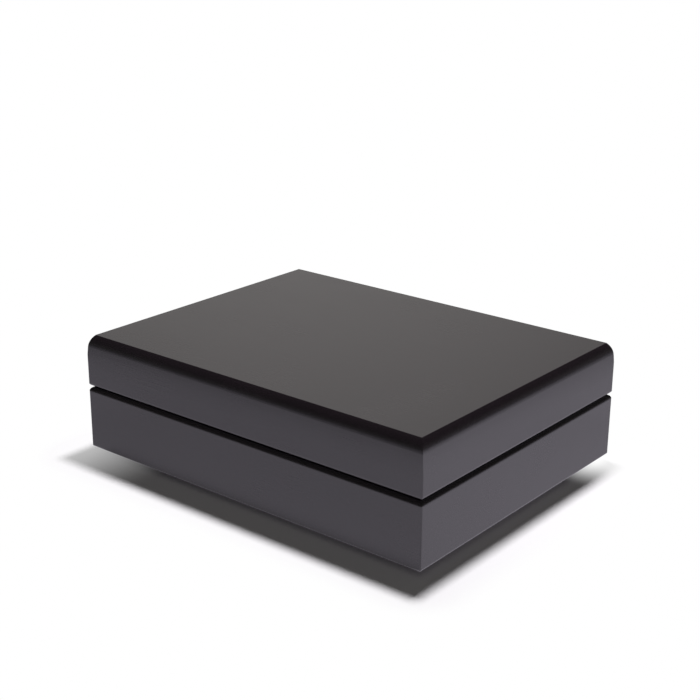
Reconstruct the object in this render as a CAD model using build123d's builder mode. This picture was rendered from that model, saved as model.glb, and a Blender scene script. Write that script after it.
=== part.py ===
from build123d import *
from math import cos, radians, sin, tan
import os

# Bullion bar case: a lacquered presentation box with a hinged lid. The origin is the
# middle of the footprint on the surface it stands on, +X runs along the long side,
# the front faces -Y, the hinges are on the +Y side and +Z is up. Millimetres.

# Outside of the case
case_length = 150.0
case_depth = 116.0
base_height = 23.7
lid_height = 19.4
seam_gap = 0.3

# Mouldings round the outside
cheek_radius = 80.0
cheek_angle = 5.4
shoulder_radius = 6.9
shoulder_angle = 41.0
lid_lower_round = 1.4
base_upper_round = 2.0
foot_edge_round = 1.0
corner_break = 0.4

# Rails and panels
rail_thickness = 10.0
top_panel_thickness = 6.0
bottom_panel_thickness = 4.0
bottom_rebate_width = 5.0

# Liner strips round the inside of the base, whose lips guide the lid
lip_thickness = 3.0
lip_rise = 4.0
lip_clearance = 0.3
lip_round = 1.2

# Rubber feet
foot_height = 2.6
foot_diameter = 11.0
foot_taper = 0.6
foot_underside_chamfer = 0.4
foot_inset = 14.0

# Tray with the window for the bar
tray_thickness = 12.0
tray_drop = 1.0
tray_clearance = 0.3
tray_edge_bevel = 0.8
bar_length = 86.0
bar_width = 54.0
bar_clearance = 0.5
bar_depth = 8.0
window_corner_radius = 2.0
finger_radius = 9.0
finger_blend_radius = 2.0
pad_edge_bevel = 1.0

# Ribbon that lifts the bar
ribbon_width = 10.0
ribbon_thickness = 0.4
ribbon_bend_radius = 0.8
ribbon_end_gap = 4.5

# Padded lining of the lid
lid_board_thickness = 1.5
lid_board_clearance = 0.6
lid_pad_thickness = 5.5
lid_pad_clearance = 0.8
lid_pad_corner_radius = 4.0
lid_pad_edge_thickness = 4.5
lid_pad_edge_width = 4.0
lid_pad_edge_steps = 4

# Magnets that hold the lid shut
magnet_diameter = 6.0
magnet_thickness = 3.0
magnet_inset = 35.0
magnet_air_gap = 0.06

# Stop hinges
hinge_inset = 33.0
hinge_length = 25.0
hinge_axis_inset = 0.8
barrel_diameter = 4.0
barrel_clearance = 0.25
pin_diameter = 1.6
pin_running_clearance = 0.05
middle_knuckle_length = 7.4
knuckle_side_play = 0.15
leaf_width = 8.0
leaf_thickness = 1.2
leaf_corner_radius = 1.0
heel_length = 3.0
heel_root = 2.4
heel_reach = 2.7
heel_drop = 2.6
heel_edge_round = 0.4
open_angle = 95.0
stop_play_angle = 1.0

# Countersunk screws of the hinges
screw_diameter = 1.6
screw_head_diameter = 3.2
screw_length = 8.0
screw_spacing = 14.0
screw_inset = 4.9

# Heights and widths that follow from the sizes above
base_bottom = foot_height
rim_height = base_bottom + base_height
lid_bottom = rim_height + seam_gap
lid_top = lid_bottom + lid_height
lid_ceiling = lid_top - top_panel_thickness
base_floor = base_bottom + bottom_panel_thickness
tray_top = rim_height - tray_drop
tray_bottom = tray_top - tray_thickness
recess_floor = tray_top - bar_depth
well_length = case_length - 2 * rail_thickness
well_depth = case_depth - 2 * rail_thickness
lid_well_length = well_length + 2 * lip_clearance
lid_well_depth = well_depth + 2 * lip_clearance
liner_length = well_length - 2 * lip_thickness
liner_depth = well_depth - 2 * lip_thickness
tray_length = liner_length - 2 * tray_clearance
tray_depth = liner_depth - 2 * tray_clearance
window_length = bar_length + 2 * bar_clearance
window_width = bar_width + 2 * bar_clearance
hinge_axis_height = rim_height + seam_gap / 2
hinge_axis_y = case_depth / 2 - hinge_axis_inset

os.makedirs("parts", exist_ok=True)


def finish(piece, name):
    piece.part.label = name
    export_step(piece.part, f"parts/{name}.step")


# Blocks with the outside mouldings
# A block starts as the plan of the case with its upright corners just broken. It is
# crossed with the moulded section along the length and the one across the depth, so
# the mouldings meet in a mitre at each corner.

def whole_section(width, bottom, top, bottom_round, top_arcs):
    """The outline across the case, with a round below and smoothly joined arcs above.

    Each of the top arcs is a radius and the angle that the outline turns on it, from the
    side wall up. The last one meets the flat top, in a crease if they turn it by less
    than 90 degrees.
    """
    side = width / 2
    lean, arcs_height = 0, 0
    for radius, angle in top_arcs:
        arcs_height += radius * (sin(radians(lean + angle)) - sin(radians(lean)))
        lean += angle
    with BuildSketch() as section:
        with BuildLine():
            Line((0, bottom), (side - bottom_round, bottom))
            CenterArc((side - bottom_round, bottom + bottom_round), bottom_round, -90, 90)
            edge = Line((side, bottom + bottom_round), (side, top - arcs_height))
            for radius, angle in top_arcs:
                edge = JernArc(edge @ 1, edge % 1, radius, angle)
            Line(edge @ 1, (0, top))
            mirror(about=Plane.YZ)
        make_face()
    return section.sketch


def moulded_block(bottom, top, bottom_round, top_arcs):
    with BuildPart() as block:
        with BuildSketch(Plane.XY.offset(bottom)):
            RectangleRounded(case_length, case_depth, corner_break)
        extrude(amount=top - bottom)
        with BuildSketch(Plane.XZ):
            add(whole_section(case_length, bottom, top, bottom_round, top_arcs))
        extrude(amount=case_depth / 2, both=True, mode=Mode.INTERSECT)
        with BuildSketch(Plane.YZ):
            add(whole_section(case_depth, bottom, top, bottom_round, top_arcs))
        extrude(amount=case_length / 2, both=True, mode=Mode.INTERSECT)
    return block.part


base_block = moulded_block(
    base_bottom, rim_height, foot_edge_round, [(base_upper_round, 90)])
lid_block = moulded_block(
    lid_bottom, lid_top, lid_lower_round,
    [(cheek_radius, cheek_angle), (shoulder_radius, shoulder_angle)])


# Places that both halves share

hinge_x = case_length / 2 - hinge_inset
hinge_places = {
    "left": Location((-hinge_x, hinge_axis_y, hinge_axis_height)),
    "right": Location((hinge_x, hinge_axis_y, hinge_axis_height)),
}
barrel_half = hinge_length / 2 - heel_length
screw_points = [
    (middle + end * screw_spacing / 2, hinge_axis_y - screw_inset)
    for middle in (-hinge_x, hinge_x) for end in (-1, 1)
]
magnet_x = case_length / 2 - magnet_inset
widest_round = max(base_upper_round, lid_lower_round)
rim_flat_y = case_depth / 2 - (widest_round + rail_thickness) / 2
magnet_points = [(-magnet_x, -rim_flat_y), (magnet_x, -rim_flat_y)]
magnet_proud = (seam_gap - magnet_air_gap) / 2


def facing_up(points, height):
    return Locations(*[Location((x, y, height)) for x, y in points])


def facing_down(points, height):
    return Locations(*[Location((x, y, height), (180, 0, 0)) for x, y in points])


# Room that both rails give a hinge: the leaves lie flush, the barrel turns clear of
# the wood, and a pocket at each end takes the heels.
with BuildPart() as hinge_room:
    back_reach = 2 * barrel_diameter
    with BuildSketch():
        with Locations((0, -leaf_width)):
            Rectangle(hinge_length, leaf_width + back_reach, align=(Align.CENTER, Align.MIN))
    extrude(amount=seam_gap / 2 + leaf_thickness, both=True)
    fillet(hinge_room.edges().filter_by(Axis.Z).group_by(Axis.Y)[0], radius=leaf_corner_radius)
    Cylinder(
        barrel_diameter / 2 + barrel_clearance, 2 * barrel_half, rotation=(0, 90, 0))
    for end in (-1, 1):
        with Locations((end * (barrel_half + heel_length / 2), -heel_root, 0)):
            Box(heel_length, heel_root + back_reach, 2 * heel_drop,
                align=(Align.CENTER, Align.MIN, Align.CENTER))


# Base: four mitred rails and a bottom panel in their rebate

def mitred_span(side, length, depth, height):
    """All that lies between two mitres, on one side of a frame with this inside size."""
    signs = {
        "front": [(-1, -1), (1, -1)],
        "right": [(1, -1), (1, 1)],
        "back": [(1, 1), (-1, 1)],
        "left": [(-1, 1), (-1, -1)],
    }[side]
    inwards, outwards = -rail_thickness, 2 * rail_thickness
    corners = [
        (x * (length / 2 + reach), y * (depth / 2 + reach))
        for reach, ends in ((inwards, signs), (outwards, reversed(signs)))
        for x, y in ends
    ]
    with BuildPart() as span:
        with BuildSketch():
            Polygon(*corners, align=None)
        extrude(amount=height)
    return span.part


def write_sides(frame, name_pattern, length, depth):
    for side in ("front", "back", "left", "right"):
        with BuildPart() as piece:
            add(frame)
            add(mitred_span(side, length, depth, 2 * lid_top), mode=Mode.INTERSECT)
        finish(piece, name_pattern.format(side))


with BuildPart() as base_frame:
    add(base_block)
    with BuildSketch(Plane.XY.offset(base_bottom)):
        Rectangle(well_length, well_depth)
    extrude(amount=base_height, mode=Mode.SUBTRACT)
    with BuildSketch(Plane.XY.offset(base_bottom)):
        Rectangle(well_length + 2 * bottom_rebate_width, well_depth + 2 * bottom_rebate_width)
    extrude(amount=bottom_panel_thickness, mode=Mode.SUBTRACT)
    with facing_up(magnet_points, rim_height):
        Hole(magnet_diameter / 2, depth=magnet_thickness - magnet_proud)
    with Locations(*hinge_places.values()):
        add(hinge_room.part, mode=Mode.SUBTRACT)
    with facing_up(screw_points, rim_height):
        Hole(screw_diameter / 2, depth=screw_length)
write_sides(base_frame.part, "base_{}_rail", well_length, well_depth)

with BuildPart() as base_bottom_panel:
    with BuildSketch(Plane.XY.offset(base_bottom)):
        Rectangle(well_length + 2 * bottom_rebate_width, well_depth + 2 * bottom_rebate_width)
    extrude(amount=bottom_panel_thickness)
finish(base_bottom_panel, "base_bottom_panel")

with BuildPart() as rubber_feet:
    foot_span = (case_length - 2 * foot_inset, case_depth - 2 * foot_inset)
    with GridLocations(*foot_span, 2, 2):
        Cone(foot_diameter / 2 - foot_taper, foot_diameter / 2, foot_height,
             align=(Align.CENTER, Align.CENTER, Align.MIN))
    chamfer(rubber_feet.edges().group_by(Axis.Z)[0], length=foot_underside_chamfer)
finish(rubber_feet, "rubber_feet")

with BuildPart() as liner:
    with BuildSketch(Plane.XY.offset(base_floor)):
        Rectangle(well_length, well_depth)
        Rectangle(liner_length, liner_depth, mode=Mode.SUBTRACT)
    extrude(amount=rim_height + lip_rise - base_floor)
    fillet(liner.faces().sort_by(Axis.Z)[-1].edges(), radius=lip_round)
write_sides(liner.part, "lip_{}", liner_length, liner_depth)


# Lid: a top panel that carries the shoulder, on four mitred rails

with BuildPart() as lid_top_panel:
    add(lid_block)
    split(bisect_by=Plane.XY.offset(lid_ceiling), keep=Keep.TOP)
finish(lid_top_panel, "lid_top_panel")

with BuildPart() as lid_frame:
    add(lid_block)
    split(bisect_by=Plane.XY.offset(lid_ceiling), keep=Keep.BOTTOM)
    with BuildSketch(Plane.XY.offset(lid_bottom)):
        Rectangle(lid_well_length, lid_well_depth)
    extrude(amount=lid_height, mode=Mode.SUBTRACT)
    with facing_down(magnet_points, lid_bottom):
        Hole(magnet_diameter / 2, depth=magnet_thickness - magnet_proud)
    with Locations(*hinge_places.values()):
        add(hinge_room.part, mode=Mode.SUBTRACT)
    with facing_down(screw_points, lid_bottom):
        Hole(screw_diameter / 2, depth=screw_length)
write_sides(lid_frame.part, "lid_{}_rail", lid_well_length, lid_well_depth)

with BuildPart() as lid_pad_board:
    with BuildSketch(Plane.XY.offset(lid_ceiling - lid_board_thickness)):
        RectangleRounded(
            lid_well_length - 2 * lid_board_clearance,
            lid_well_depth - 2 * lid_board_clearance,
            lid_pad_corner_radius)
    extrude(amount=lid_board_thickness)
finish(lid_pad_board, "lid_pad_board")

# The cushion: its edge rolls down from the board in a quarter ellipse, and the crown
# rises from there to the middle.
with BuildPart() as lid_pad:
    pad_length = lid_well_length - 2 * lid_pad_clearance
    pad_depth = lid_well_depth - 2 * lid_pad_clearance
    roll = [radians(90 * step / lid_pad_edge_steps) for step in range(lid_pad_edge_steps + 1)]
    levels = [
        (lid_pad_edge_thickness * sin(turn), lid_pad_edge_width * (1 - cos(turn)))
        for turn in roll
    ]
    levels.append((lid_pad_thickness, pad_depth / 4))
    for thickness, inset in levels:
        with BuildSketch(Plane.XY.offset(lid_ceiling - lid_board_thickness - thickness)):
            RectangleRounded(
                pad_length - 2 * inset, pad_depth - 2 * inset, lid_pad_corner_radius)
    loft(ruled=True)
finish(lid_pad, "lid_pad")


# Magnets, sunk in both rims so that their faces almost meet

with BuildPart() as base_magnets:
    with facing_up(magnet_points, rim_height + magnet_proud - magnet_thickness):
        Cylinder(magnet_diameter / 2, magnet_thickness,
                 align=(Align.CENTER, Align.CENTER, Align.MIN))
finish(base_magnets, "base_magnets")

with BuildPart() as lid_magnets:
    with facing_up(magnet_points, lid_bottom - magnet_proud):
        Cylinder(magnet_diameter / 2, magnet_thickness,
                 align=(Align.CENTER, Align.CENTER, Align.MIN))
finish(lid_magnets, "lid_magnets")


# Stop hinges
# Each leaf is drawn lying below the axis of its barrel, which is the local X axis.
# The lid's leaf is the mirror image, with the knuckles that the base's leaf lacks.

outer_knuckle_start = middle_knuckle_length / 2 + knuckle_side_play
outer_knuckle_end = barrel_half - knuckle_side_play
outer_knuckle_length = outer_knuckle_end - outer_knuckle_start
outer_knuckle_middle = (outer_knuckle_start + outer_knuckle_end) / 2
base_knuckles = [(-outer_knuckle_middle, outer_knuckle_length),
                 (outer_knuckle_middle, outer_knuckle_length)]
lid_knuckles = [(0, middle_knuckle_length)]
heel_bevel = radians((open_angle + stop_play_angle) / 2)


def hinge_leaf(knuckles, bore_diameter):
    top = -seam_gap / 2
    with BuildPart() as leaf:
        with BuildSketch(Plane.XY.offset(top)):
            Rectangle(hinge_length, leaf_width, align=(Align.CENTER, Align.MAX))
        extrude(amount=-leaf_thickness)
        fillet(leaf.edges().filter_by(Axis.Z).group_by(Axis.Y)[0], radius=leaf_corner_radius)
        Cylinder(barrel_diameter / 2 + barrel_clearance, 2 * barrel_half,
                 rotation=(0, 90, 0), mode=Mode.SUBTRACT)
        for middle, length in knuckles:
            with Locations((middle, 0, top)):
                Box(length, barrel_diameter, leaf_thickness,
                    align=(Align.CENTER, Align.MAX, Align.MAX))
            with Locations((middle, 0, 0)):
                Cylinder(barrel_diameter / 2, length, rotation=(0, 90, 0))
        for end in (-1, 1):
            with BuildSketch(Plane.YZ.offset(end * (barrel_half + heel_length / 2))) as heel:
                Polygon(
                    (-heel_root, top),
                    (-top / tan(heel_bevel), top),
                    (heel_reach * cos(heel_bevel), -heel_reach * sin(heel_bevel)),
                    (heel_reach * cos(heel_bevel), -heel_drop),
                    (-heel_root, -heel_drop),
                    align=None)
                fillet(heel.vertices().group_by(Axis.Z)[0].sort_by(Axis.Y)[-1],
                       radius=heel_edge_round)
            extrude(amount=heel_length / 2, both=True)
        with Locations(Location((0, 0, 0), (0, 90, 0))):
            Hole(bore_diameter / 2)
        with Locations(*[(end * screw_spacing / 2, -screw_inset, top) for end in (-1, 1)]):
            CounterSinkHole(screw_diameter / 2, screw_head_diameter / 2)
    return leaf.part


base_leaf = hinge_leaf(base_knuckles, pin_diameter)
lid_leaf = hinge_leaf(lid_knuckles, pin_diameter + 2 * pin_running_clearance)

for side, place in hinge_places.items():
    with BuildPart() as hinge_base_leaf:
        with Locations(place):
            add(base_leaf)
    finish(hinge_base_leaf, f"hinge_{side}_base_leaf")

    with BuildPart() as hinge_lid_leaf:
        with Locations(place):
            add(mirror(lid_leaf, about=Plane.XY, mode=Mode.PRIVATE))
    finish(hinge_lid_leaf, f"hinge_{side}_lid_leaf")

    with BuildPart() as hinge_pin:
        with Locations(place):
            Cylinder(pin_diameter / 2, 2 * outer_knuckle_end, rotation=(0, 90, 0))
    finish(hinge_pin, f"hinge_{side}_pin")

# One screw, head up, with the top of its head at the origin
with BuildPart() as screw:
    head_height = (screw_head_diameter - screw_diameter) / 2
    with BuildSketch(Plane.XZ):
        Polygon(
            (0, 0),
            (screw_head_diameter / 2, 0),
            (screw_diameter / 2, -head_height),
            (screw_diameter / 2, -screw_length),
            (0, -screw_length),
            align=None)
    revolve(axis=Axis.Z)

with BuildPart() as base_hinge_screws:
    with facing_up(screw_points, rim_height):
        add(screw.part)
finish(base_hinge_screws, "base_hinge_screws")

with BuildPart() as lid_hinge_screws:
    with facing_down(screw_points, lid_bottom):
        add(screw.part)
finish(lid_hinge_screws, "lid_hinge_screws")


# Tray: a velvet-covered insert on a foam slab, with a window down to the bar's pad

with BuildPart() as tray_foam:
    with BuildSketch(Plane.XY.offset(base_floor)):
        Rectangle(tray_length, tray_depth)
    extrude(amount=tray_bottom - base_floor)
finish(tray_foam, "tray_foam")

with BuildPart() as bar_tray:
    with BuildSketch(Plane.XY.offset(tray_bottom)):
        Rectangle(tray_length, tray_depth)
    extrude(amount=tray_thickness)
    with BuildSketch(Plane.XY.offset(tray_bottom)) as window:
        Rectangle(window_length, window_width)
        with Locations((0, -window_width / 2), (0, window_width / 2)):
            Circle(finger_radius)
        notch_corners = window.vertices().sort_by(Axis.X)[2:6]
        fillet(notch_corners, radius=finger_blend_radius)
        fillet(window.vertices().group_by(Axis.X)[0], radius=window_corner_radius)
        fillet(window.vertices().group_by(Axis.X)[-1], radius=window_corner_radius)
    extrude(amount=tray_thickness, mode=Mode.SUBTRACT)
    chamfer(bar_tray.faces().sort_by(Axis.Z)[-1].edges(), length=tray_edge_bevel)
finish(bar_tray, "bar_tray")

with BuildPart() as recess_pad:
    with BuildSketch(Plane.XY.offset(tray_bottom)):
        RectangleRounded(
            window_length - 2 * ribbon_thickness,
            window_width - 2 * ribbon_thickness,
            window_corner_radius - ribbon_thickness)
    extrude(amount=recess_floor - tray_bottom)
    chamfer(recess_pad.faces().sort_by(Axis.Z)[-1].edges(), length=pad_edge_bevel)
finish(recess_pad, "recess_pad")

# The ribbon starts under the right end of the bar, crosses the pad, climbs the left
# wall of the window and lies on the tray.
with BuildPart() as lift_ribbon:
    half_ribbon = ribbon_thickness / 2
    wall_x = window_length / 2 - half_ribbon
    bends = [
        pad_edge_bevel + half_ribbon,
        ribbon_bend_radius,
        tray_edge_bevel + half_ribbon,
    ]
    with BuildSketch(Plane.XZ):
        with BuildLine():
            FilletPolyline(
                (wall_x, tray_bottom + half_ribbon),
                (wall_x, recess_floor + half_ribbon),
                (-wall_x, recess_floor + half_ribbon),
                (-wall_x, tray_top + half_ribbon),
                (ribbon_end_gap - liner_length / 2, tray_top + half_ribbon),
                radius=bends)
            offset(amount=half_ribbon, side=Side.BOTH)
        make_face()
    extrude(amount=ribbon_width / 2, both=True)
finish(lift_ribbon, "lift_ribbon")
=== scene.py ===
import math

import bmesh
import bpy
import numpy as np
from mathutils import Matrix, Vector


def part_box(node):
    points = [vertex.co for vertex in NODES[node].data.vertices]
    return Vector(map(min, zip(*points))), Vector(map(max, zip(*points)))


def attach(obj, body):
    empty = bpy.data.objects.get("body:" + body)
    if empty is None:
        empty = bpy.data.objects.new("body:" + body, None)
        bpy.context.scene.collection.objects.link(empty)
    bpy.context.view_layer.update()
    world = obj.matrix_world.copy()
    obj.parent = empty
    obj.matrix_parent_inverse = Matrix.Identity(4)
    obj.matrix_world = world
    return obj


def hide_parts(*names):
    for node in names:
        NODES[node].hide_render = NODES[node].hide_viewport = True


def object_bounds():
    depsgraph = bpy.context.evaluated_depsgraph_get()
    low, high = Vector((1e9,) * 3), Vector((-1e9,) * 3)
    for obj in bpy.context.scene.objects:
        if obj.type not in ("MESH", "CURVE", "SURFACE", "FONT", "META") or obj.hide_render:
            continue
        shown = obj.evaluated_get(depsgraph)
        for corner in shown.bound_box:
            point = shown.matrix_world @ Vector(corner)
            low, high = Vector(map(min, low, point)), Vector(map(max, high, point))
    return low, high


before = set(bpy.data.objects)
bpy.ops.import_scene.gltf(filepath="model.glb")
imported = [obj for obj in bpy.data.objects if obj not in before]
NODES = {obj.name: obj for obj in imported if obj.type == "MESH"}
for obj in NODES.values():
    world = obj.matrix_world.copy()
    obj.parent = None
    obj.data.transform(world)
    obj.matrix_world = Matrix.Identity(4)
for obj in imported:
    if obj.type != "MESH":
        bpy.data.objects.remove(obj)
CAD_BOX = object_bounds()
MM = 0.001

# The photograph's camera, fitted to the edges of the case. Lengths in metres, angles in
# radians.
CAMERA_AZIMUTH = 0.6791420
CAMERA_ELEVATION = 0.3422023
CAMERA_ROLL = 0.0071039
CAMERA_DISTANCE = 0.476061
CAMERA_TARGET = Vector((0.0075565, -0.0092476, 0.046))
CAMERA_LENS = 70.08

# The soft light over the case, placed by the corners of the photographed shadow
KEY_PLACE = Vector((-0.006, 0.077, 0.53))
KEY_SIZE = 0.07
KEY_POWER = 3.75
KEY_AIM_HEIGHT = 0.02
FLOOR_COLOUR = (0.77, 0.755, 0.78)
FLOOR_REACH = 6.0

# A soft light from the front that shines on the lining and the fittings only, which the
# open lid keeps the key from
FILL_PLACE = Vector((0.16, -0.52, 0.40))
FILL_SIZE = 0.30
FILL_POWER = 2.6
FILL_AIM_HEIGHT = 0.06

# The floor turns plain white to the camera between these distances from the case. White is also
# painted into the shadow towards two corners of the case, as painted light that thins it: to
# the front left one along X, on the front side, and to the back right one along Y, on the right
# side, where more of the shadow is left beside the case than under it.
CLEAR_OF_SHADOW = (0.008, 0.022)
LEFT_END, LEFT_END_LIGHT = (-0.090, -0.040), 0.52
FRONT_SIDE = (-0.050, -0.020)
RIGHT_END, RIGHT_END_LIGHT = (0.032, 0.056), 1.0
RIGHT_SIDE = (0.030, 0.065)
BESIDE_RIGHT, BESIDE_RIGHT_LIGHT = (0.072, 0.078), 0.83

# The floor as the lacquer mirrors it, a painted reflection that glossy rays see instead of the
# lit floor: brightest at the right, dimmer close to the case and in its shadow as painted shade
# and painted shadow, and dimmer again beyond the paper that the case stands on
GLOW_MIDDLE = Vector((0.150, -0.020, 0.0))
GLOW_REACH = 0.160
GLOW_LOW, GLOW_RISE = 0.60, 0.42
GLOW_COLOUR = (0.93, 0.88, 1.0, 1)
SHADOW_REACH = (0.0, 0.010)
END_SHADOW_REACH = (-0.006, -0.001)
GLOW_IN_SHADOW = 0.52
NEAR_CASE, NEAR_CASE_GLOW = (0.036, 0.056), 0.91
PAPER_EDGE = (0.16, 0.21)
PAPER_BEYOND = 0.55
FAR_EDGE = (0.20, 0.60)
FAR_BEYOND = 0.36

# The two soft panels that the glossy top reflects: which way they face, how wide they are
# as a cosine, and between which heights they dim
PANEL_AZIMUTH = math.radians(131.5)
PANEL_EDGE = (0.90, 1.0)
PANEL_STRENGTH = 0.49
PANEL_TOP = (0.24, 0.55)
PANEL_DIMMED = 0.74
AMBIENT_STRENGTH = 0.048
HORIZON_GLOW = 0.08
HORIZON_TOP = 0.20
ROOM_COLOUR = (1.0, 0.985, 0.945, 1)
WHITE = (1.0, 1.0, 1.0, 1)


# Nodes of a material or of the world

class Tree:
    """A node tree with short calls for the nodes that the materials below use."""

    def __init__(self, tree):
        self.tree = tree
        tree.nodes.clear()

    def add(self, kind, inputs=None, **settings):
        node = self.tree.nodes.new("ShaderNode" + kind)
        for name, value in settings.items():
            setattr(node, name, value)
        for name, value in (inputs or {}).items():
            self.put(node.inputs[name], value)
        return node

    def put(self, socket, value):
        if isinstance(value, bpy.types.NodeSocket):
            self.tree.links.new(value, socket)
        elif isinstance(value, bpy.types.Node):
            self.tree.links.new(value.outputs[0], socket)
        else:
            socket.default_value = value

    def math(self, operation, *values):
        return self.add("Math", dict(enumerate(values)), operation=operation).outputs[0]

    def ramp(self, value, low, high, to_low=0.0, to_high=1.0, smooth=True):
        kind = "SMOOTHSTEP" if smooth else "LINEAR"
        return self.add("MapRange", {0: value, 1: low, 2: high, 3: to_low, 4: to_high},
                        interpolation_type=kind).outputs[0]

    def mix(self, share, first, second):
        node = self.add("Mix", data_type="RGBA")
        self.put(node.inputs[0], share)
        self.put(node.inputs[6], first)
        self.put(node.inputs[7], second)
        return node.outputs[2]

    def place(self, scale=(1.0, 1.0, 1.0)):
        """The point's place on its own body, in metres, stretched by scale."""
        where = self.add("TexCoord").outputs["Object"]
        return self.add("Mapping", {"Vector": where, "Scale": scale})

    def noise(self, scale, detail=3.0, roughness=0.5, stretch=(1.0, 1.0, 1.0)):
        return self.add("TexNoise", {"Vector": self.place(stretch), "Scale": scale,
                                     "Detail": detail, "Roughness": roughness}).outputs[0]


def new_material(name):
    made = bpy.data.materials.new(name)
    made.use_nodes = True
    return made, Tree(made.node_tree)


def surface(tree, colour, roughness, normal=None, **fixed):
    """The main shader and its output. Fixed values go straight on the shader's sockets."""
    shader = tree.add("BsdfPrincipled")
    tree.put(shader.inputs["Base Color"], colour)
    tree.put(shader.inputs["Roughness"], roughness)
    if normal is not None:
        tree.put(shader.inputs["Normal"], normal)
    for name, value in fixed.items():
        shader.inputs[name.replace("_", " ")].default_value = value
    tree.add("OutputMaterial", {"Surface": shader.outputs[0]})


def bump(tree, height, distance, under=None):
    node = tree.add("Bump", {"Height": height, "Distance": distance, "Strength": 1.0})
    if under is not None:
        tree.put(node.inputs["Normal"], under)
    return node.outputs[0]


def black_lacquer(name):
    """Satin black lacquer over orange peel, rubbed down along the length of the case."""
    made, t = new_material(name)
    peel = t.noise(420.0, detail=2.0)
    rubbing = t.noise(1.0, detail=5.0, roughness=0.62, stretch=(60.0, 2600.0, 2600.0))
    cloud = t.noise(34.0, detail=4.0)
    dust = t.noise(5200.0, detail=1.0)
    colour = t.mix(cloud, (0.0066, 0.0034, 0.0060, 1), (0.0094, 0.0054, 0.0086, 1))
    rough = t.math("ADD", t.ramp(rubbing, 0.3, 0.7, 0.215, 0.255),
                   t.ramp(cloud, 0.35, 0.7, 0.0, 0.03))
    rough = t.math("ADD", rough, t.ramp(dust, 0.72, 0.8, 0.0, 0.06))
    normal = bump(t, rubbing, 0.0010 * MM)
    normal = bump(t, peel, 0.012 * MM, under=normal)
    surface(t, colour, rough, normal, IOR=1.75)
    return made


# Inside of the case: sizes that the frame doesn't give
TRAY_CORNER = 1.2 * MM
FINGER_RADIUS = 9 * MM
FINGER_BLEND = 2 * MM
WINDOW_CORNER = 2 * MM
VELVET_EDGE = 0.9 * MM
LIP_TOP_ROUND = 1.2 * MM
FOAM_CORNER = 0.8 * MM
FOAM_SQUEEZE = 0.35 * MM
RIBBON_WIDTH = 10 * MM
RIBBON_THICKNESS = 0.32 * MM
RIBBON_BEND = 1.0 * MM
RIBBON_RIB = 0.45 * MM
RIBBON_CLEAR = 0.75 * RIBBON_THICKNESS
RIBBON_ON_PAD = 0.62 * RIBBON_THICKNESS
RIBBON_TUCK = 0.4 * MM
RIBBON_OVER_PAD = 0.2 * MM
RIBBON_STEP = 0.6 * MM
BEND_STEPS = 8
SCREW_RADIUS = 0.8 * MM
SCREW_HEAD_RADIUS = 1.6 * MM
SCREW_THREAD_PITCH = 0.7 * MM
SCREW_THREAD_DEPTH = 0.18 * MM
SLOT_WIDTH = 0.42 * MM
SLOT_DEPTH = 0.38 * MM
SCREW_EDGE_BREAK = 0.12 * MM
SCREW_EDGE_DEPTH = 0.08 * MM
SCREW_POINT = 0.4 * MM
SCREW_SPACING = 14 * MM
SCREW_TURNS = (35, 120, 80, 10)

# Cloth is simulated at four times its real size, where Blender's cloth folds well
CLOTH_SCALE = 4.0
CLOTH_VOXEL = 6 * MM
CLOTH_FRAMES = 20


def velvet(name, colour):
    """Short-pile velvet: a soft sheen, its pile bumped as if brushed this way and that and in
    tufts; its colour goes darker and lighter with the brushing and brighter at tufts and
    fibres, a painted sheen and shade of the pile.
    """
    made, t = new_material(name)
    brushed = t.noise(70.0, detail=4.0, roughness=0.6, stretch=(1.0, 2.2, 1.0))
    tufts = t.noise(1100.0, detail=3.0, roughness=0.6)
    fibre = t.noise(5200.0, detail=2.0)
    # Painted sheen and shade of the pile: the colour darker and lighter with the brushing,
    # brighter at tufts and fibres
    painted_pile_shade = tuple(c * 0.35 for c in colour) + (1,)
    painted_pile_sheen = tuple(c * 2.4 for c in colour) + (1,)
    tone = t.mix(t.ramp(brushed, 0.34, 0.66), painted_pile_shade, tuple(colour) + (1,))
    tone = t.mix(t.ramp(tufts, 0.42, 0.72, 0.0, 0.75), tone, painted_pile_sheen)
    tone = t.mix(t.ramp(fibre, 0.45, 0.75, 0.0, 0.4), tone, painted_pile_sheen)
    rough = t.ramp(brushed, 0.3, 0.7, 0.78, 0.96)
    normal = bump(t, brushed, 0.25 * MM)
    normal = bump(t, tufts, 0.12 * MM, under=normal)
    normal = bump(t, fibre, 0.04 * MM, under=normal)
    surface(t, tone, rough, normal, Sheen_Weight=0.5, Sheen_Roughness=0.3,
            Sheen_Tint=(0.62, 0.62, 0.66, 1), Specular_IOR_Level=0.2)
    return made


def satin(name, colour, thread):
    """Satin: long warp floats over fine weft, which stretch the highlights."""
    made, t = new_material(name)
    floats = t.noise(1.0, detail=2.0, stretch=(1.0 / (9 * thread), 1.0 / thread, 1.0 / thread))
    slub = t.noise(1.0, detail=3.0, stretch=(40.0, 900.0, 900.0))
    cloud = t.noise(45.0, detail=2.0)
    tone = t.mix(t.ramp(floats, 0.3, 0.7), tuple(c * 0.86 for c in colour) + (1,),
                 tuple(colour) + (1,))
    tone = t.mix(t.ramp(cloud, 0.35, 0.65, 0.0, 0.22), tone,
                 tuple(c * 0.9 for c in colour) + (1,))
    rough = t.math("ADD", t.ramp(floats, 0.3, 0.7, 0.29, 0.39),
                   t.ramp(slub, 0.4, 0.7, 0.0, 0.07))
    normal = bump(t, slub, 0.02 * MM)
    normal = bump(t, floats, 0.025 * MM, under=normal)
    surface(t, tone, rough, normal, Anisotropic=0.5, Sheen_Weight=0.18,
            Sheen_Roughness=0.35)
    return made


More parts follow.
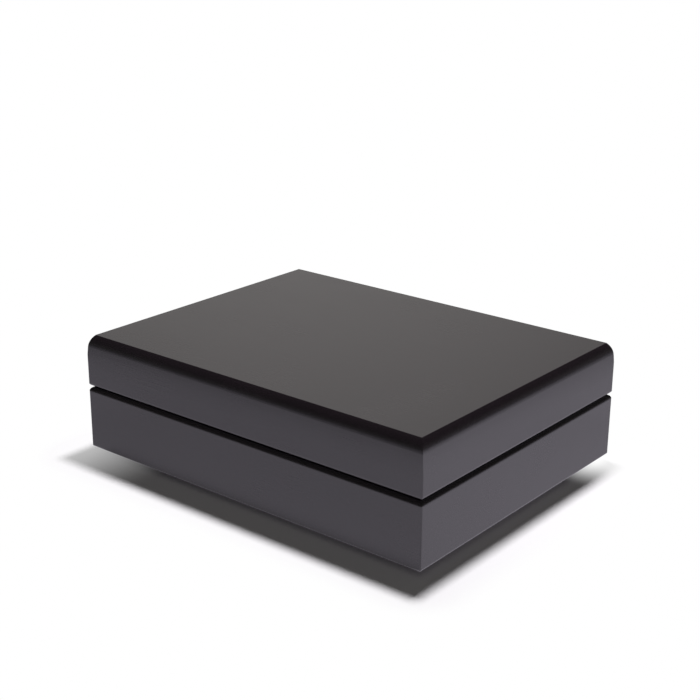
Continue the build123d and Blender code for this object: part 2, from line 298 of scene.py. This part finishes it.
def grosgrain(name, colour):
    """Ribbon with fine ribs across it, laid along the ribbon by its UV map, and darker between
    the ribs as painted shade.
    """
    made, t = new_material(name)
    along = t.add("SeparateXYZ", {0: t.add("TexCoord").outputs["UV"]}).outputs[0]
    rib = t.math("ABSOLUTE", t.math("SINE", t.math("MULTIPLY", along, math.pi / RIBBON_RIB)))
    fibre = t.noise(3800.0, detail=2.0)
    # Painted shade: darker between the ribs, where the bump is lowest
    tone = t.mix(rib, tuple(c * 0.55 for c in colour) + (1,), tuple(colour) + (1,))
    rough = t.math("ADD", t.ramp(fibre, 0.35, 0.7, 0.34, 0.44),
                   t.ramp(rib, 0.0, 1.0, 0.12, 0.0))
    normal = bump(t, rib, 0.05 * MM)
    normal = bump(t, fibre, 0.012 * MM, under=normal)
    surface(t, tone, rough, normal, Sheen_Weight=0.25, Sheen_Roughness=0.3)
    return made


def metal(name, colour, tarnish, rough_low, rough_high, brush=(30.0, 2400.0, 2400.0)):
    """Polished metal with fine brushing and a little tarnish."""
    made, t = new_material(name)
    brushed = t.noise(1.0, detail=4.0, stretch=brush)
    stain = t.noise(90.0, detail=3.0)
    tone = t.mix(t.ramp(stain, 0.5, 0.78), tuple(colour) + (1,), tuple(tarnish) + (1,))
    rough = t.math("ADD", t.ramp(brushed, 0.3, 0.7, rough_low, rough_high),
                   t.ramp(stain, 0.45, 0.8, 0.0, 0.05))
    normal = bump(t, brushed, 0.003 * MM)
    surface(t, tone, rough, normal, Metallic=1.0)
    return made


def rubber(name):
    """Matt rubber with a little dust on it."""
    made, t = new_material(name)
    grain = t.noise(2600.0, detail=3.0)
    dust = t.noise(260.0, detail=4.0)
    tone = t.mix(t.ramp(dust, 0.5, 0.8, 0.0, 0.35), (0.018, 0.018, 0.019, 1),
                 (0.06, 0.058, 0.054, 1))
    rough = t.ramp(grain, 0.3, 0.7, 0.68, 0.86)
    surface(t, tone, rough, bump(t, grain, 0.03 * MM))
    return made


def greyboard(name):
    """Grey board with pressed fibres and dark flecks."""
    made, t = new_material(name)
    fibre = t.noise(1.0, detail=4.0, stretch=(400.0, 2600.0, 1200.0))
    fleck = t.noise(2100.0, detail=1.0)
    tone = t.mix(t.ramp(fibre, 0.3, 0.7), (0.36, 0.32, 0.26, 1), (0.50, 0.45, 0.37, 1))
    tone = t.mix(t.ramp(fleck, 0.66, 0.74), tone, (0.16, 0.14, 0.12, 1))
    surface(t, tone, t.ramp(fibre, 0.3, 0.7, 0.8, 0.95), bump(t, fibre, 0.03 * MM))
    return made


def open_foam(name):
    """Black foam with open cells, darker down in each cell as painted shade."""
    made, t = new_material(name)
    cells = t.add("TexVoronoi", {"Vector": t.place(), "Scale": 1600.0}).outputs["Distance"]
    # Painted shade: darker where the bump sinks into each cell
    tone = t.mix(t.ramp(cells, 0.1, 0.7), (0.012, 0.012, 0.012, 1), (0.055, 0.054, 0.052, 1))
    surface(t, tone, t.ramp(cells, 0.0, 0.8, 0.98, 0.85), bump(t, cells, 0.12 * MM))
    return made


# Shapes

def arc(centre, radius, start, end, steps=8):
    """Points along an arc, from one angle in degrees to another."""
    turns = [math.radians(start + (end - start) * step / steps) for step in range(steps + 1)]
    return [(centre[0] + radius * math.cos(a), centre[1] + radius * math.sin(a)) for a in turns]


def rounded_rectangle(half_length, half_width, radius):
    """The corners of a rectangle as arcs, anticlockwise."""
    points = []
    for turn, (x, y) in enumerate([(1, 1), (-1, 1), (-1, -1), (1, -1)]):
        centre = (x * (half_length - radius), y * (half_width - radius))
        points += arc(centre, radius, 90 * turn, 90 * turn + 90)
    return points


def window_outline(half_length, half_width, grow):
    """The bar's window with a finger notch in each long side, grown by a length."""
    blend_x = math.sqrt((FINGER_RADIUS + FINGER_BLEND) ** 2 - FINGER_BLEND ** 2)
    blend_y = half_width + FINGER_BLEND
    lean = math.degrees(math.asin(FINGER_BLEND / (FINGER_RADIUS + FINGER_BLEND)))
    corner_x, corner_y = half_length - WINDOW_CORNER, half_width - WINDOW_CORNER
    half = (arc((corner_x, corner_y), WINDOW_CORNER + grow, 0, 90)
            + arc((blend_x, blend_y), FINGER_BLEND - grow, 270, 180 + lean)
            + arc((0, half_width), FINGER_RADIUS + grow, lean, 180 - lean, 24)
            + arc((-blend_x, blend_y), FINGER_BLEND - grow, -lean, -90)
            + arc((-corner_x, corner_y), WINDOW_CORNER + grow, 90, 180))
    return half + [(-x, -y) for x, y in half]


def edge_round(size, steps=5):
    """Steps round a quarter circle at an edge: how far in, and how far up."""
    turns = [math.pi / 2 * step / steps for step in range(steps + 1)]
    return [(size * (1 - math.cos(a)), size * math.sin(a)) for a in turns]


def skin(shape, rings):
    """Faces between rings that have as many points each."""
    made = [[shape.verts.new(point) for point in ring] for ring in rings]
    for lower, upper in zip(made, made[1:]):
        for here, there in zip(range(len(lower)), [*range(1, len(lower)), 0]):
            shape.faces.new((lower[here], lower[there], upper[there], upper[here]))
    return made


def edges_of(shape, ring):
    """The edges round a closed ring of vertices, made where they are missing."""
    edges = []
    for here, there in zip(ring, ring[1:] + ring[:1]):
        edges.append(shape.edges.get((here, there)) or shape.edges.new((here, there)))
    return edges


def at_height(outline, height):
    """A plan outline as points in space."""
    return [Vector((x, y, height)) for x, y in outline]


def piece(name, shape, material, body, stands_for=()):
    """A new piece from a bmesh or a mesh, on a body, in the place of CAD nodes."""
    if isinstance(shape, bmesh.types.BMesh):
        mesh = bpy.data.meshes.new(name)
        bmesh.ops.recalc_face_normals(shape, faces=shape.faces)
        shape.to_mesh(mesh)
        shape.free()
    else:
        mesh = shape
        mesh.name = name
    mesh.shade_smooth()
    mesh.set_sharp_from_angle(angle=math.radians(50))
    mesh.materials.clear()
    mesh.materials.append(material)
    made = bpy.data.objects.new(name, mesh)
    bpy.context.scene.collection.objects.link(made)
    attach(made, body)
    if stands_for:
        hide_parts(*stands_for)
    return made


def evaluated_mesh(made):
    """The object's mesh with its modifiers applied, as a new mesh."""
    graph = bpy.context.evaluated_depsgraph_get()
    return bpy.data.meshes.new_from_object(made.evaluated_get(graph))


# Tray, liner and foam

def velvet_tray():
    """The tray: a board wrapped in velvet, rounded at every edge that shows."""
    low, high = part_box("bar_tray")
    # The ribbon's solid lies against the end of the window, and the pad stands as far
    # from the window's sides as from its ends
    pad_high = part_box("recess_pad")[1]
    window_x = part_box("lift_ribbon")[1].x
    window_y = pad_high.y + (window_x - pad_high.x)
    shape = bmesh.new()
    outside, window = [], []
    for inset, rise in [(0.0, None)] + edge_round(VELVET_EDGE):
        height = low.z if rise is None else high.z - VELVET_EDGE + rise
        outside.append(at_height(rounded_rectangle(
            high.x - inset, high.y - inset, TRAY_CORNER), height))
        window.append(at_height(window_outline(window_x, window_y, inset), height))
    outer = skin(shape, outside)
    inner = skin(shape, window)
    for end in (0, -1):
        rim = edges_of(shape, outer[end]) + edges_of(shape, inner[end])
        bmesh.ops.triangle_fill(shape, edges=rim, use_beauty=True)
    return piece("velvet_tray", shape, lining_velvet, "base", ["bar_tray"])


def velvet_lip(side):
    """A liner strip of the base with its top rolled over, mitred at both ends."""
    node = f"lip_{side}"
    low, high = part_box(node)
    along = 0 if side in ("front", "back") else 1
    across = 1 - along
    outer_sign = 1 if side in ("back", "right") else -1
    outer, inner = (high, low) if outer_sign > 0 else (low, high)
    thickness = high[across] - low[across]
    section = [(0.0, low.z)]
    section += [(inset, high.z - LIP_TOP_ROUND + rise)
                for inset, rise in edge_round(LIP_TOP_ROUND, 6)]
    section += [(thickness - inset, z) for inset, z in reversed(section)]
    shape = bmesh.new()
    rings = []
    for end in (-1, 1):
        ring = []
        for inwards, height in section:
            point = Vector((0.0, 0.0, height))
            reach = high[along] - inwards
            point[along] = end * reach
            point[across] = outer[across] - outer_sign * inwards
            ring.append(point)
        rings.append(ring)
    ends = skin(shape, rings)
    for ring in ends:
        shape.faces.new(ring)
    return piece(f"velvet_{node}", shape, lining_velvet, "base", [node])


def foam_slab():
    """The slab under the tray, its sides pressed in a little, most half-way up."""
    low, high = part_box("tray_foam")
    shape = bmesh.new()
    levels = 8
    rings = []
    for level in range(levels + 1):
        share = level / levels
        squeeze = FOAM_SQUEEZE * math.sin(math.pi * share)
        outline = rounded_rectangle(high.x - squeeze, high.y - squeeze, FOAM_CORNER)
        rings.append(at_height(outline, low.z + share * (high.z - low.z)))
    ends = skin(shape, rings)
    shape.faces.new(ends[0])
    shape.faces.new(ends[-1])
    made = piece("foam_slab", shape, open_foam("open_foam"), "base", ["tray_foam"])


# Padded pieces

def pad_blank(low, high, corner, roll, rest_height):
    """A pad before it swells: a rounded slab that stands on its back, at cloth scale."""
    half = (high - low) / 2
    shape = bmesh.new()
    rings = [at_height(rounded_rectangle(half.x, half.y, corner), 0.0)]
    for inset, rise in edge_round(1.0, 6):
        outline = rounded_rectangle(half.x - roll * inset, half.y - roll * inset, corner)
        rings.append(at_height(outline, rest_height * (0.3 + 0.7 * rise)))
    ends = skin(shape, rings)
    shape.faces.new(ends[0])
    shape.faces.new(ends[-1])
    bmesh.ops.recalc_face_normals(shape, faces=shape.faces)
    bmesh.ops.scale(shape, vec=(CLOTH_SCALE,) * 3, verts=shape.verts)
    mesh = bpy.data.meshes.new("pad_blank")
    shape.to_mesh(mesh)
    shape.free()
    return mesh


def swell(mesh, growth, pressure, cap, held_height):
    """Blow the pad up as cloth, with its back held, and keep how far each point went."""
    blank = bpy.data.objects.new("pad_blank", mesh)
    bpy.context.scene.collection.objects.link(blank)
    remesh = blank.modifiers.new("voxels", "REMESH")
    remesh.mode = "VOXEL"
    remesh.voxel_size = CLOTH_VOXEL
    blank.data = evaluated_mesh(blank)
    blank.modifiers.clear()
    start = np.array([v.co[:] for v in blank.data.vertices])
    held = blank.vertex_groups.new(name="held")
    held.add([i for i, p in enumerate(start) if p[2] < held_height], 1.0, "REPLACE")
    cloth = blank.modifiers.new("cloth", "CLOTH")
    cloth.settings.vertex_group_mass = "held"
    cloth.settings.use_pressure = True
    cloth.settings.uniform_pressure_force = pressure
    cloth.settings.shrink_min = -growth
    cloth.settings.effector_weights.gravity = 0
    cloth.settings.quality = 6
    cloth.point_cache.frame_end = CLOTH_FRAMES
    for number in range(1, CLOTH_FRAMES + 1):
        bpy.context.scene.frame_set(number)
    swollen = evaluated_mesh(blank)
    moved = np.array([v.co[:] for v in swollen.vertices]) - start
    reach = np.linalg.norm(moved, axis=1)
    scale = np.minimum(1.0, cap / np.maximum(reach, 1e-9))
    swollen.vertices.foreach_set("co", (start + moved * scale[:, None]).ravel())
    bpy.data.objects.remove(blank)
    bpy.context.scene.frame_set(1)
    return swollen


def padded_panel(name, node, material, body, hangs, corner, roll, rise, growth,
                 pressure, cap):
    """A padded panel in the place of a CAD pad, with its back on the board behind it."""
    low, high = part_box(node)
    thickness = high.z - low.z
    mesh = swell(pad_blank(low, high, corner, roll, rise * thickness), growth, pressure,
                 cap * CLOTH_SCALE, 0.2 * thickness * CLOTH_SCALE)
    up = -1.0 if hangs else 1.0
    foot = high.z if hangs else low.z
    middle = (low + high) / 2
    limit = (high - low) / 2
    spots = np.array([v.co[:] for v in mesh.vertices]) / CLOTH_SCALE
    spots[:, 2] = np.clip(spots[:, 2], 0.0, thickness)
    spots[:, 0] = np.clip(spots[:, 0], -limit.x, limit.x)
    spots[:, 1] = np.clip(spots[:, 1], -limit.y, limit.y)
    spots[:, 2] = foot + up * spots[:, 2]
    spots[:, :2] += np.array(middle)[:2]
    mesh.vertices.foreach_set("co", spots.ravel())
    if hangs:
        mesh.flip_normals()
    mesh.update()
    made = piece(name, mesh, material, body, [node])
    finer = made.modifiers.new("finer", "SUBSURF")
    finer.levels = 1
    finer.render_levels = 1
    return made


# Ribbon

def rounded_route(corners, radii, step):
    """A route through the corners with an arc at each inner one, in short steps."""
    route = [corners[0]]
    for before, here, after, radius in zip(corners, corners[1:], corners[2:], radii):
        back, on = (before - here).normalized(), (after - here).normalized()
        half_angle = back.angle(on) / 2
        reach = radius / math.tan(half_angle)
        middle = here + (back + on).normalized() * (radius / math.sin(half_angle))
        start = (here + back * reach - middle).normalized()
        end = (here + on * reach - middle).normalized()
        route += [middle + radius * start.slerp(end, step_number / BEND_STEPS)
                  for step_number in range(BEND_STEPS + 1)]
    route.append(corners[-1])
    fine = [route[0]]
    for a, b in zip(route, route[1:]):
        count = max(1, math.ceil((b - a).length / step))
        fine += [a.lerp(b, i / count) for i in range(1, count + 1)]
    return fine


def ribbon_route():
    """The ribbon's middle line: down one end of the window, over the pad, up the other
    end and out onto the tray."""
    low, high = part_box("lift_ribbon")
    tray_low, tray_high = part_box("bar_tray")
    wall = high.x - RIBBON_CLEAR
    bottom = tray_low.z + RIBBON_TUCK
    over_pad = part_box("recess_pad")[1].z + RIBBON_OVER_PAD
    over_tray = tray_high.z + RIBBON_CLEAR
    corners = [Vector((wall, 0, bottom)), Vector((wall, 0, over_pad)),
               Vector((-wall, 0, over_pad)), Vector((-wall, 0, over_tray)),
               Vector((low.x, 0, over_tray))]
    return rounded_route(corners, [RIBBON_BEND, RIBBON_BEND * 0.8, RIBBON_BEND],
                         RIBBON_STEP)


def on_the_pad(pad, spot):
    """The spot, moved up or down to lie on the swollen pad where it is over it."""
    pad_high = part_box("recess_pad")[1]
    if abs(spot.x) >= pad_high.x - RIBBON_BEND or spot.z >= pad_high.z + MM:
        return spot
    hit, place, _, _ = pad.ray_cast(Vector((spot.x, spot.y, pad_high.z + 2 * MM)),
                                    Vector((0, 0, -1)))
    if hit:
        spot.z = place.z + RIBBON_ON_PAD
    return spot


def satin_ribbon(pad):
    """The ribbon under the bar, laid along its route, with a UV map in metres."""
    route = ribbon_route()
    gone = [0.0]
    for before, here in zip(route, route[1:]):
        gone.append(gone[-1] + (here - before).length)
    columns = 12
    shape = bmesh.new()
    uv = shape.loops.layers.uv.new("along")
    grid = []
    for point in route:
        spots = [point + Vector((0, (column / columns - 0.5) * RIBBON_WIDTH, 0))
                 for column in range(columns + 1)]
        grid.append([shape.verts.new(on_the_pad(pad, spot)) for spot in spots])
    for i, (row, following) in enumerate(zip(grid, grid[1:])):
        for j in range(columns):
            face = shape.faces.new((row[j], row[j + 1], following[j + 1], following[j]))
            across = [j, j + 1, j + 1, j]
            down = [i, i, i + 1, i + 1]
            for loop, c, d in zip(face.loops, across, down):
                loop[uv].uv = (gone[d], c / columns * RIBBON_WIDTH)
    made = piece("satin_ribbon", shape, grosgrain("ribbon_grosgrain", (0.016, 0.015, 0.017)),
                 "base", ["lift_ribbon"])
    thick = made.modifiers.new("cloth_thickness", "SOLIDIFY")
    thick.thickness = RIBBON_THICKNESS
    thick.offset = 0.0
    return made


# Hinges' screws

def helper(name, shape):
    """An object that is only there for a modifier."""
    mesh = bpy.data.meshes.new(name)
    shape.to_mesh(mesh)
    shape.free()
    made = bpy.data.objects.new(name, mesh)
    bpy.context.scene.collection.objects.link(made)
    return made


def turned_screw(length):
    """A countersunk screw, turned from its profile: head, thread and point."""
    head_height = SCREW_HEAD_RADIUS - SCREW_RADIUS
    profile = [(0.0, 0.0), (SCREW_HEAD_RADIUS - SCREW_EDGE_BREAK, 0.0),
               (SCREW_HEAD_RADIUS, SCREW_EDGE_DEPTH), (SCREW_RADIUS, head_height)]
    depth = head_height + SCREW_THREAD_PITCH
    while depth < length - SCREW_THREAD_PITCH:
        profile.append((SCREW_RADIUS - SCREW_THREAD_DEPTH, depth - SCREW_THREAD_PITCH / 2))
        profile.append((SCREW_RADIUS, depth))
        depth += SCREW_THREAD_PITCH
    profile += [(SCREW_RADIUS * 0.5, length - SCREW_POINT), (0.0, length)]
    shape = bmesh.new()
    verts = [shape.verts.new((r, 0, -z)) for r, z in profile]
    outline = [shape.edges.new(pair) for pair in zip(verts, verts[1:])]
    bmesh.ops.spin(shape, geom=verts + outline, cent=(0, 0, 0), axis=(0, 0, 1),
                   angle=2 * math.pi, steps=32, use_merge=True)
    bmesh.ops.remove_doubles(shape, verts=shape.verts, dist=0.001 * MM)
    bmesh.ops.recalc_face_normals(shape, faces=shape.faces)
    return helper("screw_blank", shape)


def slot_cutter():
    shape = bmesh.new()
    bmesh.ops.create_cube(shape, size=1.0)
    bmesh.ops.scale(shape, verts=shape.verts,
                    vec=(4 * SCREW_HEAD_RADIUS, SLOT_WIDTH, 2 * SLOT_DEPTH))
    return helper("slot_cutter", shape)


def slotted_screw(length):
    """One screw's mesh, with its slot cut."""
    blank, cutter = turned_screw(length), slot_cutter()
    cut = blank.modifiers.new("slot", "BOOLEAN")
    cut.object = cutter
    cut.solver = "EXACT"
    mesh = evaluated_mesh(blank)
    for done in (blank, cutter):
        bpy.data.objects.remove(done)
    return mesh


def slotted_screws(name, node, body, head_up):
    """The two screws in each hinge leaf, their slots turned as they happened to stop."""
    low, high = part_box(node)
    one = slotted_screw(high.z - low.z)
    end_x, row_y = high.x - SCREW_HEAD_RADIUS, high.y - SCREW_HEAD_RADIUS
    places = (-end_x, -end_x + SCREW_SPACING, end_x - SCREW_SPACING, end_x)
    together = bmesh.new()
    for x, turn in zip(places, SCREW_TURNS):
        before = set(together.verts)
        together.from_mesh(one)
        new = [v for v in together.verts if v not in before]
        move = Matrix.Rotation(math.radians(turn), 4, "Z")
        if not head_up:
            move = Matrix.Rotation(math.pi, 4, "X") @ move
        move = Matrix.Translation((x, row_y, high.z if head_up else low.z)) @ move
        bmesh.ops.transform(together, matrix=move, verts=new)
    bpy.data.meshes.remove(one)
    return piece(name, together, polished_brass, body, [node])


# Materials of the CAD nodes, and the pieces

LACQUERED = [name for name in NODES if "rail" in name or "panel" in name]
HINGE_PARTS = [name for name in NODES if name.startswith(("hinge_left", "hinge_right"))]
MAGNETS = ["base_magnets", "lid_magnets"]

lining_velvet = velvet("lining_velvet", (0.0105, 0.0105, 0.0116))
polished_brass = metal("polished_brass", (0.88, 0.68, 0.35), (0.78, 0.57, 0.27), 0.22, 0.31)
nickel = metal("magnet_nickel", (0.76, 0.76, 0.74), (0.66, 0.66, 0.65), 0.12, 0.20,
               (900.0, 900.0, 900.0))
for names, material in (
        (LACQUERED, black_lacquer("black_lacquer_along")),
        (HINGE_PARTS, polished_brass),
        (MAGNETS, nickel),
        (["rubber_feet"], rubber("foot_rubber")),
        (["lid_pad_board"], greyboard("greyboard"))):
    for node_name in names:
        NODES[node_name].data.materials.clear()
        NODES[node_name].data.materials.append(material)

tray = velvet_tray()
lips = [velvet_lip(side) for side in ("front", "back", "left", "right")]
foam_slab()
recess_cushion = padded_panel(
    "recess_cushion", "recess_pad", lining_velvet, "base", hangs=False,
    corner=1.6 * MM, roll=1.2 * MM, rise=0.86, growth=0.01, pressure=2.0, cap=0.5 * MM)
ribbon = satin_ribbon(recess_cushion)
lid_cushion = padded_panel(
    "lid_cushion", "lid_pad", satin("lid_satin", (0.80, 0.755, 0.66), 0.12 * MM), "lid",
    hangs=True, corner=4 * MM, roll=3.2 * MM, rise=0.72, growth=0.03,
    pressure=4.0, cap=1.6 * MM)
base_screws = slotted_screws("base_slotted_screws", "base_hinge_screws", "base",
                             head_up=True)
lid_screws = slotted_screws("lid_slotted_screws", "lid_hinge_screws", "lid",
                            head_up=False)
inside_pieces = [tray, *lips, recess_cushion, ribbon, lid_cushion, base_screws, lid_screws,
                 *(NODES[name] for name in HINGE_PARTS + MAGNETS)]


# Studio

def studio_world():
    """A dim room with a soft panel over each of two opposite corners of the case, and
    white where the camera looks past the floor."""
    world = bpy.data.worlds.new("studio")
    bpy.context.scene.world = world
    world.use_nodes = True
    t = Tree(world.node_tree)
    ray = t.add("TexCoord").outputs["Generated"]
    height = t.add("SeparateXYZ", {0: ray}).outputs[2]
    level = t.add("VectorMath", {0: ray, 1: (1.0, 1.0, 0.0)}, operation="MULTIPLY").outputs[0]
    level = t.add("VectorMath", {0: level}, operation="NORMALIZE").outputs[0]
    towards = (math.cos(PANEL_AZIMUTH), math.sin(PANEL_AZIMUTH), 0.0)
    facing = t.add("VectorMath", {0: level, 1: towards}, operation="DOT_PRODUCT")
    nearness = t.math("ABSOLUTE", facing.outputs["Value"])
    panel = t.ramp(nearness, *PANEL_EDGE, 0.0, PANEL_STRENGTH, smooth=False)
    panel = t.math("MULTIPLY", panel, t.ramp(height, *PANEL_TOP, 1.0, PANEL_DIMMED))
    horizon = t.ramp(height, 0.0, HORIZON_TOP, HORIZON_GLOW, 0.0)
    strength = t.math("ADD", t.math("ADD", panel, horizon), AMBIENT_STRENGTH)
    room = t.add("Background", {"Color": ROOM_COLOUR, "Strength": strength})
    white = t.add("Background", {"Color": WHITE, "Strength": 1.0})
    seen = t.add("LightPath").outputs["Is Camera Ray"]
    both = t.add("MixShader", {0: seen, 1: room.outputs[0], 2: white.outputs[0]})
    t.add("OutputWorld", {"Surface": both.outputs[0]})


def white_floor_and_painted_light(t, where, away):
    """How far the floor has turned plain white at a place, with white painted into the shadow
    towards two corners of the case.
    """
    clear = t.ramp(away, *CLEAR_OF_SHADOW)
    # Painted light: white mixed into the shadow towards the front left and the back right
    # corner
    painted_light_left_end = t.math("MULTIPLY", t.ramp(where.outputs[0], *LEFT_END, LEFT_END_LIGHT, 0.0),
                      t.ramp(where.outputs[1], *FRONT_SIDE, 1.0, 0.0))
    painted_light_right_end = t.math("MULTIPLY", t.ramp(where.outputs[1], *RIGHT_END, 0.0, RIGHT_END_LIGHT),
                       t.ramp(where.outputs[0], *RIGHT_SIDE))
    painted_light_right_end = t.math("MULTIPLY", painted_light_right_end,
                       t.ramp(where.outputs[0], *BESIDE_RIGHT, 1.0, BESIDE_RIGHT_LIGHT))
    return t.math("MAXIMUM", clear, t.math("MAXIMUM", painted_light_left_end, painted_light_right_end))


def painted_floor_reflection(t, outside, away):
    """The painted reflection of the floor: how bright the lacquer sees it at a place, dimmer as
    painted shade near the case and as painted shadow where the case's shadow falls.
    """
    from_middle = t.add("VectorMath", {0: t.add("TexCoord").outputs["Object"],
                                       1: GLOW_MIDDLE},
                        operation="DISTANCE").outputs["Value"]
    spread = t.math("MULTIPLY_ADD", t.math("MULTIPLY", from_middle, from_middle),
                    1 / GLOW_REACH ** 2, 1.0)
    glow = t.math("ADD", GLOW_LOW, t.math("DIVIDE", GLOW_RISE, spread))
    # Painted shadow in the reflection: dimmer where the case's shadow falls on the floor
    outside_painted_shadow = t.math("MAXIMUM", t.ramp(outside[1], *SHADOW_REACH),
                 t.ramp(outside[0], *END_SHADOW_REACH))
    glow = t.math("MULTIPLY", glow, t.ramp(outside_painted_shadow, 0.0, 1.0, GLOW_IN_SHADOW, 1.0, smooth=False))
    # Painted shade in the reflection: dimmer close to the case
    glow = t.math("MULTIPLY", glow, t.ramp(away, *NEAR_CASE, NEAR_CASE_GLOW, 1.0))
    glow = t.math("MULTIPLY", glow, t.ramp(away, *PAPER_EDGE, 1.0, PAPER_BEYOND))
    return t.math("MULTIPLY", glow, t.ramp(away, *FAR_EDGE, 1.0, FAR_BEYOND))


def studio_floor():
    """A pale floor, plain white to the camera where it is clear of the case's shadow, with
    white painted into the shadow at two corners, and to glossy rays a painted reflection of
    itself.
    """
    mesh = bpy.data.meshes.new("floor")
    corners = [(x * FLOOR_REACH, y * FLOOR_REACH, 0)
               for x, y in ((-1, -1), (1, -1), (1, 1), (-1, 1))]
    mesh.from_pydata(corners, [], [(0, 1, 2, 3)])
    floor = bpy.data.objects.new("floor", mesh)
    bpy.context.scene.collection.objects.link(floor)
    made, t = new_material("pale_floor")
    where = t.add("SeparateXYZ", {0: t.add("TexCoord").outputs["Object"]})
    half = (CAD_BOX[1] - CAD_BOX[0]) / 2
    outside = [t.math("SUBTRACT", t.math("ABSOLUTE", where.outputs[axis]), half[axis])
               for axis in (0, 1)]
    over = [t.math("MAXIMUM", distance, 0.0) for distance in outside]
    away = t.math("SQRT", t.math("ADD", t.math("MULTIPLY", over[0], over[0]),
                                 t.math("MULTIPLY", over[1], over[1])))
    grain = t.noise(900.0, detail=2.0)
    tone = t.mix(grain, tuple(c * 0.985 for c in FLOOR_COLOUR) + (1,), FLOOR_COLOUR + (1,))
    paper = t.add("BsdfDiffuse", {"Color": tone})
    white = t.add("Emission", {"Color": WHITE, "Strength": 1.0})
    ray = t.add("LightPath")
    share = t.math("MULTIPLY", ray.outputs["Is Camera Ray"], white_floor_and_painted_light(t, where, away))
    seen = t.add("MixShader", {0: share, 1: paper.outputs[0], 2: white.outputs[0]})
    # Glossy rays see a painted reflection of the floor: an emission with painted shade near the
    # case and in its shadow
    mirrored = t.add("Emission", {"Color": GLOW_COLOUR,
                                  "Strength": painted_floor_reflection(t, outside, away)})
    both = t.add("MixShader", {0: ray.outputs["Is Glossy Ray"], 1: seen.outputs[0],
                               2: mirrored.outputs[0]})
    t.add("OutputMaterial", {"Surface": both.outputs[0]})
    mesh.materials.append(made)


def soft_light(name, place, aim_height, size, power):
    """A round soft light that looks at a point over the middle of the floor."""
    lamp = bpy.data.lights.new(name, "AREA")
    lamp.shape = "DISK"
    lamp.size = size
    lamp.energy = power
    made = bpy.data.objects.new(name, lamp)
    made.location = place
    made.rotation_mode = "QUATERNION"
    made.rotation_quaternion = (Vector((0, 0, aim_height)) - place).to_track_quat("-Z", "Y")
    bpy.context.scene.collection.objects.link(made)
    return made


def fill_light(pieces):
    """A front light for the inside of the case, linked to its pieces alone."""
    fill = soft_light("fill", FILL_PLACE, FILL_AIM_HEIGHT, FILL_SIZE, FILL_POWER)
    inside = bpy.data.collections.new("inside_the_case")
    for made in pieces:
        inside.objects.link(made)
    fill.light_linking.receiver_collection = inside


def photo_camera():
    """A camera with the photograph's place, direction, roll and lens."""
    azimuth, elevation = CAMERA_AZIMUTH, CAMERA_ELEVATION
    back = Vector((math.sin(azimuth) * math.cos(elevation),
                   -math.cos(azimuth) * math.cos(elevation), math.sin(elevation)))
    level = (-back).cross(Vector((0, 0, 1))).normalized()
    rise = level.cross(-back)
    right = math.cos(CAMERA_ROLL) * level + math.sin(CAMERA_ROLL) * rise
    up = -math.sin(CAMERA_ROLL) * level + math.cos(CAMERA_ROLL) * rise
    data = bpy.data.cameras.new("photo_camera")
    data.lens = CAMERA_LENS
    data.sensor_width = 36.0
    data.clip_start, data.clip_end = 0.01, 50.0
    camera = bpy.data.objects.new("photo_camera", data)
    turn = Matrix((right, up, back)).transposed().to_4x4()
    place = CAMERA_TARGET + CAMERA_DISTANCE * back
    camera.matrix_world = Matrix.Translation(place) @ turn
    bpy.context.scene.collection.objects.link(camera)
    bpy.context.scene.camera = camera


studio_world()
studio_floor()
soft_light("key", KEY_PLACE, KEY_AIM_HEIGHT, KEY_SIZE, KEY_POWER)
fill_light(inside_pieces)
photo_camera()
bpy.context.scene.view_settings.view_transform = "Standard"
